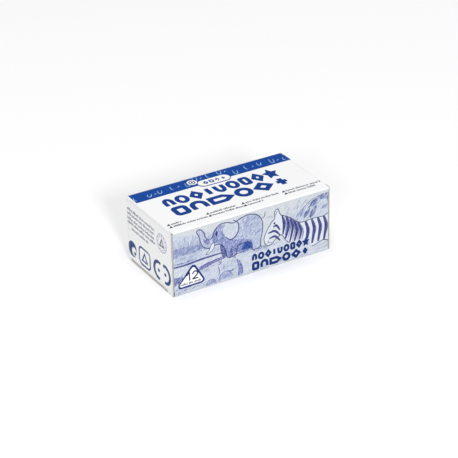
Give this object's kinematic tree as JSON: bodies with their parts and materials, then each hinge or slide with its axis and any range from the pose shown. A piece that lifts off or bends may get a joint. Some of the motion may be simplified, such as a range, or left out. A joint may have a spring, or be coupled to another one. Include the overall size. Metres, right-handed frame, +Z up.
{
  "type": "carton of wax crayons",
  "caption": "Small closed folding carton of triangular wax crayons, printed in blue on white board, with a tuck-in closure and dust flaps at each end.",
  "frame": {"origin": "centre of the carton's base", "axes": "+X along the carton towards the end whose closure folds up from the base, +Y from the front panel to the back panel, +Z up"},
  "size_m": [0.088, 0.045, 0.0345],
  "materials": {
    "printed_board": "satin",
    "bare_board": "matte",
    "crayon_wax": "satin",
    "wrapper_paper": "matte"
  },
  "bodies": {
    "carton": {"top_panel": "printed_board", "bottom_panel": "printed_board", "front_panel": "printed_board", "back_panel": "printed_board", "glue_flap": "bare_board"},
    "closure_left": {"closure_left": "printed_board"},
    "tuck_left": {"tuck_left": "printed_board"},
    "dust_flap_left_front": {"dust_flap_left_front": "printed_board"},
    "dust_flap_left_back": {"dust_flap_left_back": "printed_board"},
    "closure_right": {"closure_right": "printed_board"},
    "tuck_right": {"tuck_right": "printed_board"},
    "dust_flap_right_front": {"dust_flap_right_front": "printed_board"},
    "dust_flap_right_back": {"dust_flap_right_back": "printed_board"},
    "crayon_01": {"crayon_01_wax": "crayon_wax", "crayon_01_wrapper": "wrapper_paper"},
    "crayon_02": {"crayon_02_wax": "crayon_wax", "crayon_02_wrapper": "wrapper_paper"},
    "crayon_03": {"crayon_03_wax": "crayon_wax", "crayon_03_wrapper": "wrapper_paper"},
    "crayon_04": {"crayon_04_wax": "crayon_wax", "crayon_04_wrapper": "wrapper_paper"},
    "crayon_05": {"crayon_05_wax": "crayon_wax", "crayon_05_wrapper": "wrapper_paper"},
    "crayon_06": {"crayon_06_wax": "crayon_wax", "crayon_06_wrapper": "wrapper_paper"},
    "crayon_07": {"crayon_07_wax": "crayon_wax", "crayon_07_wrapper": "wrapper_paper"},
    "crayon_08": {"crayon_08_wax": "crayon_wax", "crayon_08_wrapper": "wrapper_paper"},
    "crayon_09": {"crayon_09_wax": "crayon_wax", "crayon_09_wrapper": "wrapper_paper"},
    "crayon_10": {"crayon_10_wax": "crayon_wax", "crayon_10_wrapper": "wrapper_paper"},
    "crayon_11": {"crayon_11_wax": "crayon_wax", "crayon_11_wrapper": "wrapper_paper"},
    "crayon_12": {"crayon_12_wax": "crayon_wax", "crayon_12_wrapper": "wrapper_paper"}
  },
  "joints": [
    {"name": "closure_left_hinge", "type": "hinge", "parent": "carton", "child": "closure_left", "pos_m": [-0.044, 0, 0.0345], "axis": [0, 1, 0], "range_deg": [0, 130]},
    {"name": "tuck_left_hinge", "type": "hinge", "parent": "closure_left", "child": "tuck_left", "pos_m": [-0.044, 0, 0.0009], "axis": [0, 1, 0], "range_deg": [0, 40]},
    {"name": "dust_flap_left_front_hinge", "type": "hinge", "parent": "carton", "child": "dust_flap_left_front", "pos_m": [-0.04325, -0.0225, 0.01725], "axis": [0, 0, 1], "range_deg": [0, 105]},
    {"name": "dust_flap_left_back_hinge", "type": "hinge", "parent": "carton", "child": "dust_flap_left_back", "pos_m": [-0.04325, 0.0225, 0.01725], "axis": [0, 0, -1], "range_deg": [0, 105]},
    {"name": "closure_right_hinge", "type": "hinge", "parent": "carton", "child": "closure_right", "pos_m": [0.044, 0, 0], "axis": [0, 1, 0], "range_deg": [0, 84]},
    {"name": "tuck_right_hinge", "type": "hinge", "parent": "closure_right", "child": "tuck_right", "pos_m": [0.044, 0, 0.0336], "axis": [0, 1, 0], "range_deg": [0, 26]},
    {"name": "dust_flap_right_front_hinge", "type": "hinge", "parent": "carton", "child": "dust_flap_right_front", "pos_m": [0.04325, -0.0225, 0.01725], "axis": [0, 0, -1], "range_deg": [0, 68]},
    {"name": "dust_flap_right_back_hinge", "type": "hinge", "parent": "carton", "child": "dust_flap_right_back", "pos_m": [0.04325, 0.0225, 0.01725], "axis": [0, 0, 1], "range_deg": [0, 68]},
    {"name": "crayon_01_slide", "type": "slide", "parent": "carton", "child": "crayon_01", "axis": [1, 0, 0], "range_m": [-0.001, 0.001]},
    {"name": "crayon_02_slide", "type": "slide", "parent": "carton", "child": "crayon_02", "axis": [1, 0, 0], "range_m": [-0.001, 0.001]},
    {"name": "crayon_03_slide", "type": "slide", "parent": "carton", "child": "crayon_03", "axis": [1, 0, 0], "range_m": [-0.001, 0.001]},
    {"name": "crayon_04_slide", "type": "slide", "parent": "carton", "child": "crayon_04", "axis": [1, 0, 0], "range_m": [-0.001, 0.001]},
    {"name": "crayon_05_slide", "type": "slide", "parent": "carton", "child": "crayon_05", "axis": [1, 0, 0], "range_m": [-0.001, 0.001]},
    {"name": "crayon_06_slide", "type": "slide", "parent": "carton", "child": "crayon_06", "axis": [1, 0, 0], "range_m": [-0.001, 0.001]},
    {"name": "crayon_07_slide", "type": "slide", "parent": "carton", "child": "crayon_07", "axis": [1, 0, 0], "range_m": [-0.001, 0.001]},
    {"name": "crayon_08_slide", "type": "slide", "parent": "carton", "child": "crayon_08", "axis": [1, 0, 0], "range_m": [-0.001, 0.001]},
    {"name": "crayon_09_slide", "type": "slide", "parent": "carton", "child": "crayon_09", "axis": [1, 0, 0], "range_m": [-0.001, 0.001]},
    {"name": "crayon_10_slide", "type": "slide", "parent": "carton", "child": "crayon_10", "axis": [1, 0, 0], "range_m": [-0.001, 0.001]},
    {"name": "crayon_11_slide", "type": "slide", "parent": "carton", "child": "crayon_11", "axis": [1, 0, 0], "range_m": [-0.001, 0.001]},
    {"name": "crayon_12_slide", "type": "slide", "parent": "carton", "child": "crayon_12", "axis": [1, 0, 0], "range_m": [-0.001, 0.001]}
  ],
  "couplings": [
    {"joint": "tuck_left_hinge", "follows": "closure_left_hinge", "ratio": 0.3},
    {"joint": "dust_flap_left_front_hinge", "follows": "closure_left_hinge", "ratio": 0.8},
    {"joint": "dust_flap_left_back_hinge", "follows": "closure_left_hinge", "ratio": 0.8},
    {"joint": "tuck_right_hinge", "follows": "closure_right_hinge", "ratio": 0.3},
    {"joint": "dust_flap_right_front_hinge", "follows": "closure_right_hinge", "ratio": 0.8},
    {"joint": "dust_flap_right_back_hinge", "follows": "closure_right_hinge", "ratio": 0.8}
  ]
}
